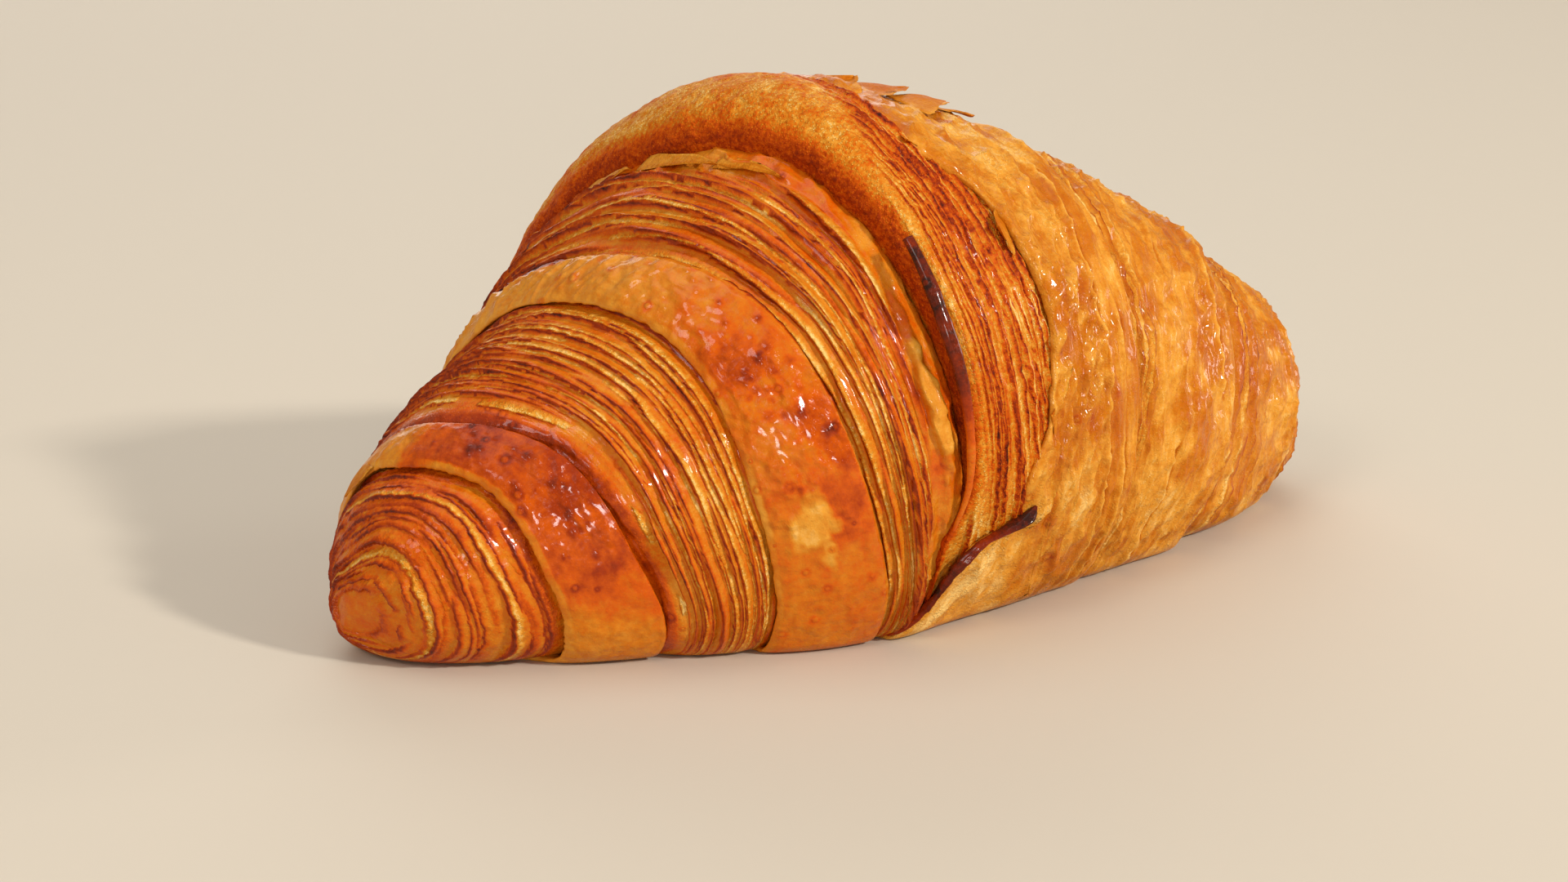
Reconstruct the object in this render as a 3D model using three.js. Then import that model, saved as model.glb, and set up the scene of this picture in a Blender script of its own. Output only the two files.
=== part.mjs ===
// A croissant: one roll of laminated dough, baked as one piece, resting on its flat base.
// Millimetres, +Z up. X runs along the roll, from the blunt horn (-X) to the long horn (+X).
// The front, where the tail of the dough is tucked under, faces -Y. The origin is on the
// base, at the middle of the outline.
import * as THREE from "three";

const LENGTH = 178;
const HALF = LENGTH / 2;
const AXIS_HEIGHT = 0.693; // height of the roll's axis over its radius there
const HORN_LIFT = 5; // how far the very ends of the horns rise off the base
const HORN_SWEEP = 3; // how far the horns bend towards +Y
const BASE_ROUND = 2; // rounding where the sides meet the flat base
const AROUND = 44; // facets around the roll
const LONGEST_STEP = 4; // largest spacing of the facets along the roll

// Radius of the roll along its length: the place as a share of HALF, then the radius.
const GIRTH = [
  [-1, 3],
  [-0.95, 11],
  [-0.86, 17.2],
  [-0.68, 25.4],
  [-0.45, 37.2],
  [-0.25, 43.2],
  [0, 42.3],
  [0.22, 38.2],
  [0.45, 32.6],
  [0.68, 26.2],
  [0.86, 19.8],
  [0.95, 13.4],
  [1, 4],
];

// The layers wind round the roll like a screw, so a line along a layer's edge reaches
// further along X at the front, and the other way at the back. A station is one such line:
// x on the crest, its reach at the front and at the back, its step off the girth, and
// how far it is tucked under its neighbour.
const station = (x, front, back, step, tuck = 0) => ({ x, front, back, step, tuck });

// The cut edge of a layer: a thin lip with its foot tucked under it. side is -1 where the
// edge faces the blunt horn and 1 where it faces the long horn.
function lip(side, x, front, back, rise, drop, tuck) {
  const foot = station(x + side * 0.1, front, back, -drop, -side * tuck);
  const edge = station(x, front, back, rise);
  const shoulder = station(x - side * 0.9, front, back, rise + 0.5);
  return side < 0 ? [foot, edge, shoulder] : [shoulder, edge, foot];
}

// The blunt half: a horn of stacked edges, two layers with a smooth skin each, and the
// rolled rim of the outer layer, which stands over them.
const bluntHorn = [
  station(-HALF, 0, 0, 0),
  station(-88.4, 2, 0.2, 0),
  station(-86.5, 6, 1, 0),
  station(-84, 10, 2, -0.2),
];
const firstLayer = [
  ...lip(-1, -80.8, 13.5, 4, 0.5, 1.4, 1),
  station(-78, 16.5, 4.5, 1.1),
  station(-76, 19, 5, 0.4),
  station(-75.4, 19.5, 5, -1.2),
  station(-68, 17, 9, 0.7),
  station(-62, 16, 11.5, 0.2),
];
const secondLayer = [
  ...lip(-1, -56.4, 14.5, 13, 0.6, 1.2, 1),
  station(-53.6, 19, 13.5, 1.3),
  station(-51.6, 23, 14, 0.5),
  station(-51, 23, 14, -1.2),
  station(-43, 19.5, 14, 0.2),
  station(-36.4, 17, 13.2, -1.6),
];
const rolledRim = [
  station(-35.3, 16.5, 13, -2.6, 2),
  station(-35.1, 16.5, 13, -0.8, 1),
  station(-34.8, 16.5, 13, 1.4),
  station(-33.6, 16.5, 13, 3.2),
  station(-30, 16, 13, 4.2),
  station(-25, 15.5, 13, 3.4),
  station(-18, 14.5, 12, 1.4),
];
// The outer layer's skin and the long half, whose edges face the other way.
const outerSkin = [
  station(-15, 14, 11.5, 0.9),
  station(-8, 9, 8, 0.6),
  station(12, -1, -1, 0.5),
  ...lip(1, 21.5, -4, -6, 0.4, 1.2, 0.8),
];
const thirdLayer = [
  station(27, -7, -9, -0.4),
  station(33, -10, -11, 0.3),
  station(45, -13, -12, 0.6),
  ...lip(1, 60.5, -16, -12, 0.5, 1.6, 1.1),
];
const longHorn = [
  station(67, -13, -9, -0.3),
  station(72, -11, -6.5, 0.3),
  station(78, -9, -4, 0.6),
  ...lip(1, 81.5, -8, -3.5, 0.3, 1.2, 0.8),
  station(85.5, -4, -1.5, -0.4),
  station(88.2, -1.5, -0.3, 0),
  station(HALF, 0, 0, 0),
];
const STATIONS = [bluntHorn, firstLayer, secondLayer, rolledRim, outerSkin, thirdLayer, longHorn].flat();

// Smooth curve through the points of a table of [place, value].
function smoothCurve(table, place) {
  const last = table.length - 1;
  const at = THREE.MathUtils.clamp(place, table[0][0], table[last][0]);
  const slope = (i) => {
    const before = table[Math.max(i - 1, 0)];
    const after = table[Math.min(i + 1, last)];
    return (after[1] - before[1]) / (after[0] - before[0]);
  };
  const i = Math.min(Math.max(table.findIndex(([p]) => p > at) - 1, 0), last - 1);
  const k = at >= table[last][0] ? last - 1 : i;
  const width = table[k + 1][0] - table[k][0];
  const t = (at - table[k][0]) / width;
  const rest = 1 - t;
  return (
    (1 + 2 * t) * rest * rest * table[k][1] +
    t * rest * rest * width * slope(k) +
    t * t * (3 - 2 * t) * table[k + 1][1] -
    t * t * rest * width * slope(k + 1)
  );
}

// How far round the screw an edge has got: it grows from the back over the crest to the
// front, and falls back under the base. The angle is 0 on the crest and a quarter turn at
// the front.
function screw(angle) {
  const waves = [0.935, -0.378, 0.168, -0.058];
  return waves.reduce((sum, height, i) => sum + height * Math.sin((i + 1) * angle), 0);
}

// 0 below -BASE_ROUND, the height itself above BASE_ROUND, and a parabola between.
function restOnBase(height) {
  if (height > BASE_ROUND) return height;
  return Math.max(height + BASE_ROUND, 0) ** 2 / (4 * BASE_ROUND);
}

// The point of the surface on a station's line at an angle.
function surfacePoint({ x, front, back, step, tuck }, angle) {
  const towardsFront = THREE.MathUtils.smoothstep(Math.sin(angle), -1, 1);
  const reach = THREE.MathUtils.lerp(back, front, towardsFront);
  const offBase = THREE.MathUtils.smoothstep(Math.cos(angle), -0.7, -0.3);
  const along = THREE.MathUtils.clamp(x + reach * screw(angle) + tuck * offBase, -HALF, HALF);
  const share = along / HALF;
  const isEnd = Math.abs(x) === HALF;
  const radius = isEnd ? 0 : smoothCurve(GIRTH, share) + step;
  const axisHeight = AXIS_HEIGHT * smoothCurve(GIRTH, share) + HORN_LIFT * share ** 6;
  return new THREE.Vector3(
    along,
    HORN_SWEEP * share ** 2 - radius * Math.sin(angle),
    restOnBase(axisHeight + radius * Math.cos(angle)),
  );
}

// The stations with others put between them where they lie far apart.
function closeStations(stations) {
  return stations.slice(1).reduce(
    (made, next) => {
      const from = made[made.length - 1];
      const pieces = Math.ceil((next.x - from.x) / LONGEST_STEP);
      for (let i = 1; i <= Math.max(pieces, 1); i++) {
        const t = i / Math.max(pieces, 1);
        const between = (key) => THREE.MathUtils.lerp(from[key], next[key], t);
        made.push(station(...["x", "front", "back", "step", "tuck"].map(between)));
      }
      return made;
    },
    [stations[0]],
  );
}

// A sphere's grid, whose rows become the stations' lines and whose poles become the horns' ends.
function croissantGeometry() {
  const rows = closeStations(STATIONS);
  const geometry = new THREE.SphereGeometry(1, AROUND, rows.length - 1);
  const { position, uv } = geometry.attributes;
  for (let row = 0, i = 0; row < rows.length; row++) {
    for (let column = 0; column <= AROUND; column++, i++) {
      const angle = -(column % AROUND) * ((2 * Math.PI) / AROUND);
      const point = surfacePoint(rows[row], angle);
      position.setXYZ(i, point.x, point.y, point.z);
      uv.setXY(i, row / (rows.length - 1), column / AROUND);
    }
  }
  geometry.computeBoundingBox();
  const middle = geometry.boundingBox.getCenter(new THREE.Vector3());
  geometry.translate(-middle.x, -middle.y, 0);
  geometry.computeVertexNormals();
  return geometry;
}

const crust = new THREE.MeshStandardMaterial({ color: 0xb8641e, roughness: 0.42, metalness: 0 });

const croissant = new THREE.Mesh(croissantGeometry(), crust);
croissant.name = "croissant";

const part = new THREE.Group();
part.add(croissant);

export default part;
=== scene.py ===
"""The looks of a croissant: wraps of laminated dough, baked and egg-washed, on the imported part."""

import math

import bpy
import numpy as np
from bpy.props import FloatProperty, FloatVectorProperty, PointerProperty
from mathutils import Euler, Matrix, Vector


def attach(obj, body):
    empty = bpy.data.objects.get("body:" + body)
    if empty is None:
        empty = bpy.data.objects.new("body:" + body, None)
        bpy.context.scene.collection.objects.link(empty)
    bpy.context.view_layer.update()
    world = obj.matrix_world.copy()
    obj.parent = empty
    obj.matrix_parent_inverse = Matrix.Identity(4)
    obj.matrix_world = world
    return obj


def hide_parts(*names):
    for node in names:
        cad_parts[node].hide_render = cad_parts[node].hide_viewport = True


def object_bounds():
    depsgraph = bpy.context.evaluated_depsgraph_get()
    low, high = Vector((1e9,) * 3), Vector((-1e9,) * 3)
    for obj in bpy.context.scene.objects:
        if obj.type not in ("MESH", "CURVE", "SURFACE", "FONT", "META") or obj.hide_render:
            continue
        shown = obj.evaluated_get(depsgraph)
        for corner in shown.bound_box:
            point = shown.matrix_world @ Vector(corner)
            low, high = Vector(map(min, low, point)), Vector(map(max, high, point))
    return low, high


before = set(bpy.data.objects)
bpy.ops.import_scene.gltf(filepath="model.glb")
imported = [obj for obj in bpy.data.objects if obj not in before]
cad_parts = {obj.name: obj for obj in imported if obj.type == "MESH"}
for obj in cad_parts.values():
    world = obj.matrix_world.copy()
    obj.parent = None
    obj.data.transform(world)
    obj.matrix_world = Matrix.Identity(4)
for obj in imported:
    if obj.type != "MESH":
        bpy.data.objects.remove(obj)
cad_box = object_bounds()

bl_info = {
    "name": "Croissant",
    "version": (1, 0, 0),
    "blender": (4, 5, 0),
    "location": "3D View > Sidebar > Croissant",
    "description": "Builds a baked croissant, wrap by wrap, and a plain studio around it",
    "category": "Add Mesh",
}

NODE = "croissant"
BODY = "root"
MM = 0.001

# Sizes in millimetres. s is the place of a layer's edge on the crest, along X, and v is the
# angle round the roll: 0 on the crest, a quarter turn at the front (-Y).
HALF = (cad_box[1][0] - cad_box[0][0]) / 2 / MM
AXIS_HEIGHT = 0.693  # height of the roll's axis over its radius there
HORN_LIFT = 5.0  # how far the horns' tips are lifted
HORN_SWEEP = 3.0  # how far they are swept back
OUTLINE_MIDDLE = -1.626  # y of the outline's middle before the roll is centred
BASE_ROUND = 2.0  # size of the rounding where the roll meets its flat base
BASE_GAP = 2.6  # how high the base arches off the floor in places
HIDDEN_GAP = 0.8  # how high the hidden ends of the wraps stay off it
TIP_ROUND = 0.013  # length of the rounding of the horns' ends, as a share of HALF
MIDDLE_RADIUS = 33.0  # a middling radius of the roll, for the length of folds round it
MAP_RADIUS = 30.0  # the radius that turns angles into lengths on the surface's own map
# A cut sheet, by the distance behind its edge: where its steep side starts and ends, where its
# crest starts and is whole, and the place, the width and the tone of the dark line along it.
SHEET_STEP = (-0.05, 0.2)
SHEET_CREST = (0.15, 0.45)
LINE_PLACE = 0.12
LINE_WIDTH = 0.19
LINE_TONE = 0.86
# Between which places the skins of the first two wraps end.
FIRST_SKIN_BACK = (-75.9, -75.2)
SECOND_SKIN_BACK = (-51.8, -51.1)
# The places of the rim's and the outer skin's front edges before they move to their lines.
RIM_FRONT = -35.7
SKIN_FRONT = -14.0
MASKS = ("tone", "gloss", "grain", "ripple")
# Places of the crust's seven colours on the scale of tones, from the palest crumb to burnt.
BAKE_PLACES = (0.0, 0.2, 0.38, 0.55, 0.72, 0.87, 1.0)
CUBE_TILT = np.array(Euler((0.61, 0.47, 0.83)).to_matrix())  # turns the cubes of the noises
CUBE_START = 100.37  # moves the corners of those cubes off the origin

# Place along the roll as a share of HALF, and the radius there.
GIRTH = np.array([
    (-1.0, 3.0), (-0.95, 11.0), (-0.86, 17.2), (-0.68, 25.4), (-0.45, 37.2), (-0.25, 43.2),
    (0.0, 42.3), (0.22, 38.2), (0.45, 32.6), (0.68, 26.2), (0.86, 19.8), (0.95, 13.4), (1.0, 4.0),
])
# The layers wind round the roll like a screw: s, and how much further along X the layer's
# edge is at the front and, the other way, at the back.
WINDING = np.array([
    (-89.0, 0.0, 0.0), (-88.4, 3.0, 0.2), (-86.5, 7.2, 1.0), (-84.0, 10.8, 2.0),
    (-80.8, 13.5, 4.0), (-78.0, 16.5, 4.5), (-75.7, 19.3, 5.0), (-68.0, 17.0, 9.0),
    (-62.0, 16.0, 11.5), (-56.4, 14.5, 13.0), (-53.6, 19.0, 13.5), (-51.3, 23.0, 14.0),
    (-43.0, 19.5, 14.0), (-35.3, 16.5, 13.0), (-30.0, 16.0, 13.0), (-15.0, 14.0, 11.5),
    (-8.0, 9.0, 8.0), (12.0, -1.0, -1.0), (21.5, -4.0, -6.0), (27.0, -7.0, -9.0),
    (33.0, -10.0, -11.0), (45.0, -13.0, -12.0), (60.5, -16.0, -12.0), (67.0, -13.0, -9.0),
    (72.0, -11.0, -6.5), (78.0, -9.0, -4.0), (81.5, -8.0, -3.5), (85.5, -4.0, -1.5),
    (88.2, -1.5, -0.3), (89.0, 0.0, 0.0),
])
SCREW_WAVES = (0.935, -0.378, 0.168, -0.058)
# Where the ragged edge of the outer skin runs: v in degrees, and s. At the front it ends in
# the burnt seam, where the tail of the dough is tucked under.
SKIN_EDGE = np.array([
    (-180.0, -40.0), (-130.0, -30.0), (-70.0, -20.0), (0.0, -15.5), (20.0, -16.3), (33.0, -16.0),
    (42.0, -9.0), (59.0, -6.6), (70.0, -6.3), (86.0, -12.4), (98.0, -20.0), (105.0, -21.5),
    (107.5, -26.0), (110.0, -31.0), (116.0, -34.6), (123.0, -38.5), (129.0, -43.5), (134.0, -46.5),
    (150.0, -46.0), (180.0, -40.0),
])
# Where the rolled rim's front edge runs, and where the cut layers before it end: v in degrees,
# and s. Between the two lies a strip of recessed skin.
RIM_EDGE = np.array([
    (-180.0, -35.7), (-20.0, -36.0), (6.0, -34.7), (22.0, -32.8), (36.0, -31.9), (53.0, -31.4),
    (81.0, -31.0), (96.0, -31.6), (103.0, -33.2), (110.0, -36.0), (125.0, -38.0), (150.0, -37.5),
    (180.0, -35.7),
])
LAYERS_END = np.array([
    (-180.0, -39.0), (0.0, -38.3), (14.0, -37.8), (36.0, -34.6), (49.0, -34.5), (61.0, -35.2),
    (70.0, -36.1), (81.0, -36.9), (90.0, -37.7), (100.0, -38.6), (111.0, -40.4), (130.0, -41.0),
    (180.0, -39.0),
])
# How far the rolled rim stands out round the roll: v in degrees, and the share of its height.
RIM_SWELL = np.array([
    (-180.0, 0.1), (-130.0, 0.3), (-100.0, 0.7), (-50.0, 0.95), (0.0, 1.0), (30.0, 0.95),
    (55.0, 0.8), (80.0, 0.6), (100.0, 0.3), (115.0, -0.1), (130.0, -0.2), (180.0, 0.1),
])


# ---------------------------------------------------------------- curves and noise

def smoothstep(low, high, x):
    """0 below low, 1 above high, and between them 3t2 - 2t3."""
    t = np.clip((x - low) / (high - low), 0.0, 1.0)
    return t * t * (3.0 - 2.0 * t)


def bell(x, width):
    """A smooth bump of height 1 around 0: the exponential of minus the square of x over width."""
    return np.exp(-((x / width) ** 2))


def smooth_curve(table, place):
    """Cubic curves through the rows of a table [place, value, ...]: at each row the slope is that
    of the chord between its two neighbours. Gives an array with one more axis for the values."""
    places, values = table[:, 0], table[:, 1:]
    before = np.maximum(np.arange(len(places)) - 1, 0)
    after = np.minimum(np.arange(len(places)) + 1, len(places) - 1)
    slopes = (values[after] - values[before]) / (places[after] - places[before])[:, None]
    at = np.clip(place, places[0], places[-1])
    k = np.clip(np.searchsorted(places, at, side="right") - 1, 0, len(places) - 2)
    width = (places[k + 1] - places[k])[..., None]
    t = (at - places[k])[..., None] / width
    rest = 1.0 - t
    return (
        (1 + 2 * t) * rest**2 * values[k]
        + t * rest**2 * width * slopes[k]
        + t**2 * (3 - 2 * t) * values[k + 1]
        - t**2 * rest * width * slopes[k + 1]
    )


def hashed(x, y, z, seed):
    """A random number from -1 to 1 for each point of a lattice of whole numbers: the three
    numbers and the seed, each times a large prime, mixed by exclusive or and shifts."""
    n = (x * 73856093) ^ (y * 19349663) ^ (z * 83492791) ^ (int(seed) * 40503 + 977)
    n = (n ^ (n >> 13)) * 1274126177
    n = n ^ (n >> 16)
    return (n & 0xFFFFF) / float(0x7FFFF) - 1.0


def noise(points, size, seed):
    """Smooth noise from -1 to 1 in space: random values at the corners of tilted cubes of the
    given size, joined by smooth interpolation along the cubes' three axes."""
    scaled = np.asarray(points) @ CUBE_TILT / size + CUBE_START
    corner = np.floor(scaled).astype(np.int64)
    t = scaled - corner
    t = t * t * t * (t * (t * 6 - 15) + 10)
    total = 0.0
    for step in np.ndindex(2, 2, 2):
        weight = 1.0
        for axis in range(3):
            weight = weight * (t[..., axis] if step[axis] else 1 - t[..., axis])
        x, y, z = (corner[..., axis] + step[axis] for axis in range(3))
        total = total + weight * hashed(x, y, z, seed)
    return total


def rough_noise(points, size, seed, octaves=3):
    """Noise of the given size, plus half as much of half the size, turned, and so on."""
    total = 0.0
    for i in range(octaves):
        total = total + noise(points, size / 2**i, seed + 31 * i) / 2**i
        points = points @ CUBE_TILT
    return total


def ring_noise(v, waves, seed, octaves=1):
    """Noise round the roll that closes on itself: noise read along a circle whose length is
    the given number of cells."""
    radius = waves / (2 * np.pi)
    circle = np.stack([np.cos(v) * radius, np.sin(v) * radius, np.full_like(v, seed * 3.7)], -1)
    return rough_noise(circle, 1.0, seed, octaves)


# ---------------------------------------------------------------- the roll

def screw(v):
    """How far round the screw an edge has got: a sum of four sine waves."""
    return sum(height * np.sin((i + 1) * v) for i, height in enumerate(SCREW_WAVES))


def round_roll(table, v):
    """The value that a table [v in degrees, value] gives at each angle, by smooth_curve."""
    return smooth_curve(table, np.degrees(v))[..., 0]


def girth_at(x):
    """The roll's radius at a place along X, by smooth_curve over GIRTH."""
    return smooth_curve(GIRTH, np.asarray(x / HALF))[..., 0]


def tip_round(s):
    """1 along the roll, and a quarter circle down to 0 over the last TIP_ROUND of each half."""
    tip = np.clip((1 - np.abs(s) / HALF) / TIP_ROUND, 0.0, 1.0)
    return np.sqrt(tip * (2 - tip))


def tip_distance(s):
    """About the distance over the surface from the nearer horn's tip to the edge line s: the
    radius there, which grows much faster than s."""
    return girth_at(s) * tip_round(s)


def roll_point(s, v, off):
    """The roll's surface, off millimetres over its girth. The edge line s has moved along X by
    its reach times screw(v). The section there is a circle around the axis, with what is
    below the base pressed up to it."""
    back, front = np.moveaxis(smooth_curve(WINDING[:, (0, 2, 1)], s), -1, 0)
    reach = back + (front - back) * smoothstep(-1.0, 1.0, np.sin(v))
    x = np.clip(s + reach * screw(v), -HALF, HALF)
    share = x / HALF
    girth = girth_at(x)
    radius = (girth + off) * tip_round(s)
    height = AXIS_HEIGHT * girth + HORN_LIFT * share**6 + radius * np.cos(v)
    pressed = np.maximum(height + BASE_ROUND, 0.0) ** 2 / (4 * BASE_ROUND)
    z = np.where(height > BASE_ROUND, height, pressed)
    y = HORN_SWEEP * share**2 - OUTLINE_MIDDLE - radius * np.sin(v)
    return np.stack([x, y, z], -1)


def grid_normals(points):
    """Unit normals of a grid that is closed along its second axis: the cross product of the
    differences along the two axes."""
    along = np.gradient(points, axis=0)
    around = np.roll(points, -1, axis=1) - np.roll(points, 1, axis=1)
    normal = np.cross(around, along)
    return normal / np.maximum(np.linalg.norm(normal, axis=-1, keepdims=True), 1e-9)


def angles(columns):
    """Angles round the roll: even ones minus 0.32 times their sine, so that they lie closer on
    the crest and about half as close below the base."""
    turn = (np.arange(columns) / columns - 0.5) * 2 * np.pi
    return turn - 0.32 * np.sin(turn)


def path_length(points):
    """The distance of each point of a path from its start: the sum of the steps before it."""
    return np.concatenate([[0.0], np.cumsum(np.linalg.norm(np.diff(points, axis=0), axis=1))])


def profile_rows(keys, rows, middle_angle):
    """A profile through its key points (s, off, ragged, relief), as a smooth curve over the
    distance between them, cut into rows of equal length on the roll at one angle."""
    keys = np.array(keys, float)
    angle = np.array([middle_angle])
    table = np.column_stack([path_length(roll_point(keys[:, 0], angle, keys[:, 1])), keys])
    fine = smooth_curve(table, np.linspace(0.0, table[-1, 0], rows * 6))
    length = path_length(roll_point(fine[:, 0], angle, fine[:, 1]))
    at = np.linspace(0.0, length[-1], rows)
    return np.stack([np.interp(at, length, fine[:, i]) for i in range(4)], -1), at


# ---------------------------------------------------------------- relief of the crust

class Crust:
    """Height of the relief in millimetres and four masks from 0 to 1: tone, from pale gold to
    burnt, gloss of the egg wash, grain of the crumb, and ripple of a wrinkled glaze."""

    def __init__(self, shape, tone, gloss, grain):
        self.height = np.zeros(shape)
        self.tone = np.full(shape, float(tone))
        self.gloss = np.full(shape, float(gloss))
        self.grain = np.full(shape, float(grain))
        self.ripple = np.full(shape, 0.12)

    def paint(self, mask, **values):
        """Moves masks towards the given values where mask is 1."""
        for name, value in values.items():
            old = getattr(self, name)
            setattr(self, name, old + (value - old) * mask)


def sheet_edges(start, end, width, seed, pale_share=0.5, last_width=None):
    """Random edges of a stack of sheets: for each its place, the sheet's width, the share of its
    rise and how pale it is. The width changes evenly from width to last_width."""
    rng = np.random.default_rng(seed)
    last_width = last_width or width
    made = []
    place = start
    while place < end:
        along = (place - start) / (end - start)
        span = (width + (last_width - width) * along) * rng.uniform(0.4, 1.8)
        pale = rng.uniform(0.6, 1.0) if rng.random() < pale_share else rng.uniform(0.0, 0.3)
        made.append((place, span, rng.uniform(0.7, 1.3), pale))
        place += span
    return made


def stack_sheets(crust, points, s, v, edges, facing, rise, seed, window, stretch=1.0, body=0.44,
                 wander_share=0.5):
    """The cut side of a stack of thin sheets. Each sheet has a steep dark edge and falls away
    behind it, so its height is rise times (1 - distance behind the edge over two widths); the
    highest sheet is the one that shows. facing is -1 where the edges face the blunt horn,
    stretch is how much longer the surface is than s, body is the tone between the edges, and
    wander_share is how far an edge wanders, as a share of its sheet's width."""
    height = np.full(s.shape, -rise * 0.5)
    tone = np.full(s.shape, body)
    grain = np.full(s.shape, 0.2)
    gloss = np.full(s.shape, 0.3)
    crumble = 0.5 + 0.5 * noise(points, 0.9, seed + 901)
    broken = 0.5 + 0.6 * rough_noise(points, 6.0, seed + 902)
    for i, (place, width, share, pale) in enumerate(edges):
        wander = wander_share * width * ring_noise(v, 12, seed + i, 3)
        wander = wander + 0.09 * ring_noise(v, 150, seed + 7 * i, 2) / stretch
        behind = -facing * (s - place - wander) * stretch
        span = max(width * stretch, 0.4)
        strength = np.clip(0.8 + 1.1 * ring_noise(v, 11, seed + 300 + i, 2), 0.0, 1.35)
        lift = rise * share * strength * (1 - 0.25 * pale * crumble)
        shape = smoothstep(*SHEET_STEP, behind) * (1 - np.clip(behind / (span * 2.0), 0, 1))
        sheet = lift * shape - rise * 0.5
        shown = (sheet > height) & (behind > SHEET_STEP[0])
        height = np.where(shown, sheet, height)
        crest = smoothstep(*SHEET_CREST, behind)
        crest = crest * (1 - smoothstep(0.4, 0.8 + 0.5 * pale, behind / span))
        top = np.where(pale > 0.5, 0.05 + 0.3 * broken, body + 0.06 + 0.16 * broken)
        line = bell(behind - LINE_PLACE, LINE_WIDTH) * np.clip(strength, 0, 1)
        mixed = body + 0.12 * (broken - 0.5)
        mixed = mixed + (top - mixed) * crest
        mixed = mixed + (LINE_TONE - mixed) * line
        tone = np.where(shown, mixed, tone)
        grain = np.where(shown, 0.15 + 0.85 * pale * crest, grain)
        gloss = np.where(shown, 0.75 - 0.55 * pale * crest + 0.2 * line, gloss)
    hair = hairlines(s * stretch, v, 0.4, seed + 904)
    height = height + 0.24 * grain * noise(points, 0.75, seed + 903) + 0.06 * hair
    crust.height += (height + rise * 0.2) * window
    crust.paint(window, tone=tone + 0.06 * hair, grain=np.clip(grain, 0, 1), gloss=gloss)


def hairlines(across, v, width, seed):
    """Fine lines round the roll: noise that is short across them and long round the roll."""
    ring = np.stack([np.cos(v) * 5.0 + 0 * across, np.sin(v) * 5.0 + 0 * across, across / width], -1)
    return noise(ring, 1.0, seed)


def spot(points, s, v, place, size):
    """1 in the middle of a ragged spot of the roll and 0 outside it: place and size are
    (s, degrees). A noise moves its outline."""
    away = ((s - place[0]) / size[0]) ** 2 + ((np.degrees(v) - place[1]) / size[1]) ** 2
    return 1 - smoothstep(0.5, 1.4, away + 0.8 * rough_noise(points, 3.0, 7))


def blisters(crust, points, count, box, size, seed):
    """Small domes at random places in a box (s, degrees) of the roll. At r of its radius from
    the middle a dome is as high as the square root of 1 - r2, with a dark ring round it."""
    rng = np.random.default_rng(seed)
    centres = rng.uniform(box[0], box[1], (count, 2))
    radii = size * rng.uniform(0.0, 1.0, count) ** 2 + 0.3
    for (s, v), radius in zip(centres, radii):
        centre = roll_point(np.array(s), np.array(math.radians(v)), np.array(0.5))
        near = np.linalg.norm(points - centre, axis=-1) / radius
        dome = np.sqrt(np.clip(1 - near**2, 0, 1))
        crust.height += dome * radius * 0.42
        crust.tone += (bell(near, 1.1) - 0.8 * bell(near, 0.35)) * 0.2


def skin_relief(crust, points, seed, bulge, wrinkle, patchy=0.12):
    """A thin baked skin: broad bulges, creases along the roll where a noise crosses zero, small
    bubbles, and patches that took more or less of the egg wash."""
    crust.height += bulge * rough_noise(points, 15.0, seed, 2)
    stretched = points * np.array([1.0, 0.45, 0.45])
    crease = 1 - np.abs(rough_noise(stretched, 3.6, seed + 5))
    crust.height += wrinkle * (np.clip(crease, 0, 1) ** 3 - 0.4)
    bubbles = np.clip(noise(points, 2.1, seed + 9), 0, 1) ** 2
    crust.height += 0.22 * bubbles + 0.05 * noise(points, 0.8, seed + 10)
    bent = points + 1.5 * noise(points, 4.0, seed + 12)[..., None]
    patches = smoothstep(-0.35, 0.55, rough_noise(bent, 6.0, seed + 13, 4))
    crust.tone += patchy * (patches - 0.5) + 0.10 * bubbles
    crust.gloss += 0.25 * (patches - 0.5)


def wrinkles(crust, s, v, spread, slope, height, seed):
    """Folds of loose skin, where spread is 1: ridges where a noise crosses zero. The noise is
    long along a line that climbs round the roll at the slope in degrees, and short across it.
    The folds fade out under the roll."""
    spread = spread * smoothstep(math.pi, 2.5, np.abs(v))
    around = v * MIDDLE_RADIUS
    turn = math.radians(slope)
    along = s * math.cos(turn) - around * math.sin(turn)
    across = s * math.sin(turn) + around * math.cos(turn)
    place = np.stack([along / 2.4, across, 0 * along], -1)
    ridge = np.clip(1 - np.abs(rough_noise(place, 3.2, seed)), 0, 1) ** 3
    crust.height += height * (ridge - 0.35) * spread
    # painted sheen and shade: the ridges of the folds are painted paler and the hollows between them a
    # little darker
    crust.tone -= 0.16 * (ridge - 0.3) * spread
    crust.gloss += 0.35 * spread


# ---------------------------------------------------------------- meshes

def set_attribute(mesh, name, values):
    """Stores a value for each point of the mesh, held between 0 and 1."""
    attribute = mesh.attributes.new(name, "FLOAT", "POINT")
    attribute.data.foreach_set("value", np.clip(values, 0, 1).astype(np.float32).ravel())


def grid_squares(rows, columns):
    """The rows, columns and four corners of the squares of a grid that is closed along its
    second axis. A point's number is its row times the columns, plus its column."""
    row, column = np.divmod(np.arange((rows - 1) * columns), columns)
    a = row * columns + column
    b = row * columns + (column + 1) % columns
    return row, column, np.stack([a, b, b + columns, a + columns], -1)


def smooth_mesh(name, vertices, faces):
    """A smooth-shaded mesh from its points and the corners of its faces."""
    mesh = bpy.data.meshes.new(name)
    mesh.from_pydata(vertices.tolist(), [], faces)
    mesh.polygons.foreach_set("use_smooth", np.ones(len(mesh.polygons), bool))
    mesh.update()
    return mesh


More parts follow.
